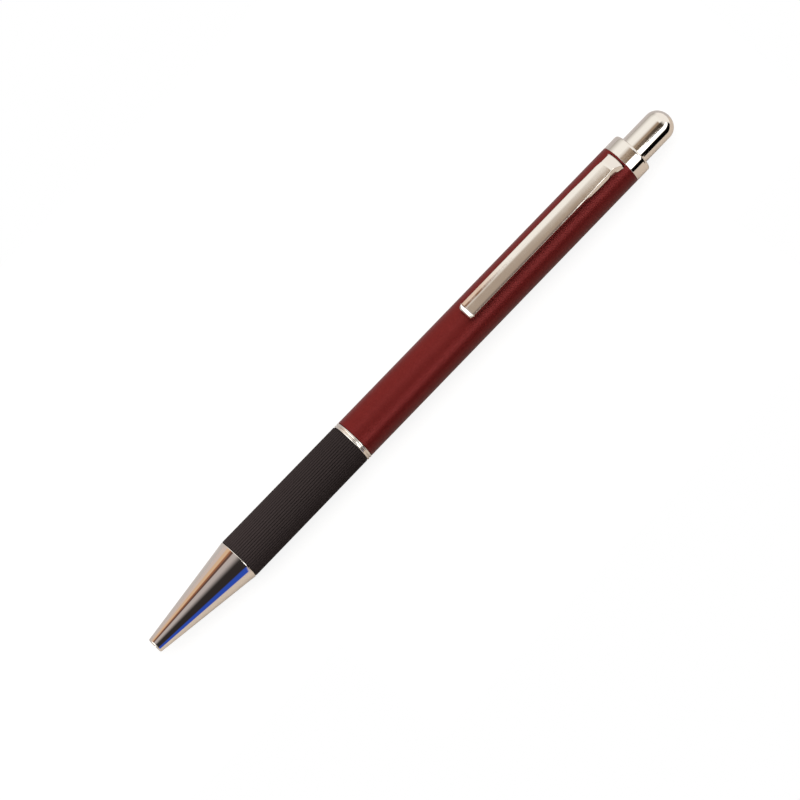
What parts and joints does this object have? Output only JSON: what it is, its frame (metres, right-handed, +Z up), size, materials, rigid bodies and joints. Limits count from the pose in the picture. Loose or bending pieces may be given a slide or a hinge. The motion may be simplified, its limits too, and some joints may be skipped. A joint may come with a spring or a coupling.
{
  "type": "retractable ballpoint pen",
  "caption": "Slim retractable ballpoint pen: click plunger, spring return, sprung pocket clip, ribbed grip, polished nose cone and satin burgundy barrel.",
  "frame": {"origin": "under the middle of the pen, on the surface that the pen lies on with its clip straight up", "axes": "+X from the writing end to the plunger, +Z up through the middle of the clip, +Y completes the right hand"},
  "size_m": [0.1386, 0.0088, 0.0109],
  "materials": {
    "chrome_plate": "bright warm chrome plating",
    "burgundy_lacquer": "satin metallic lacquer",
    "ribbed_rubber": "matte with lengthwise ribs",
    "brass": "turned",
    "spring_steel": "drawn wire",
    "white_acetal": "moulded",
    "black_plastic": "moulded",
    "nickel": "plated",
    "carbide": "polished"
  },
  "bodies": {
    "body": {"nose_cone": "chrome_plate", "return_spring": "spring_steel", "grip_core": "brass", "grip_sleeve": "ribbed_rubber", "trim_ring": "chrome_plate", "barrel_bushing": "brass", "barrel": "burgundy_lacquer", "top_collar": "chrome_plate", "cam_sleeve": "white_acetal"},
    "plunger": {"plunger_cap": "chrome_plate", "thrust_tube": "black_plastic"},
    "refill": {"rotor": "white_acetal", "refill_tube": "nickel", "refill_plug": "black_plastic", "refill_adapter": "black_plastic", "refill_point": "nickel"},
    "ball": {"refill_ball": "carbide"},
    "clip": {"clip": "chrome_plate"}
  },
  "joints": [
    {"name": "plunger_slide", "type": "slide", "parent": "body", "child": "plunger", "axis": [-1, 0, 0], "range_m": [0, 0.0055], "stiffness_N_per_m": 300, "springref_m": -0.006},
    {"name": "refill_slide", "type": "slide", "parent": "body", "child": "refill", "axis": [-1, 0, 0], "range_m": [0, 0.0055], "deforming": ["return_spring"]},
    {"name": "ball_roll", "type": "hinge", "parent": "refill", "child": "ball", "pos_m": [-0.0676, 0, 0.00444], "axis": [0, 1, 0], "continuous": true},
    {"name": "clip_flex", "type": "hinge", "parent": "body", "child": "clip", "pos_m": [0.0556, 0, 0.00859], "axis": [0, 1, 0], "range_deg": [0, 3], "stiffness_Nm_per_rad": 2.4, "springref_deg": -1.15}
  ],
  "couplings": [
    {"joint": "refill_slide", "follows": "plunger_slide", "ratio": 1}
  ]
}
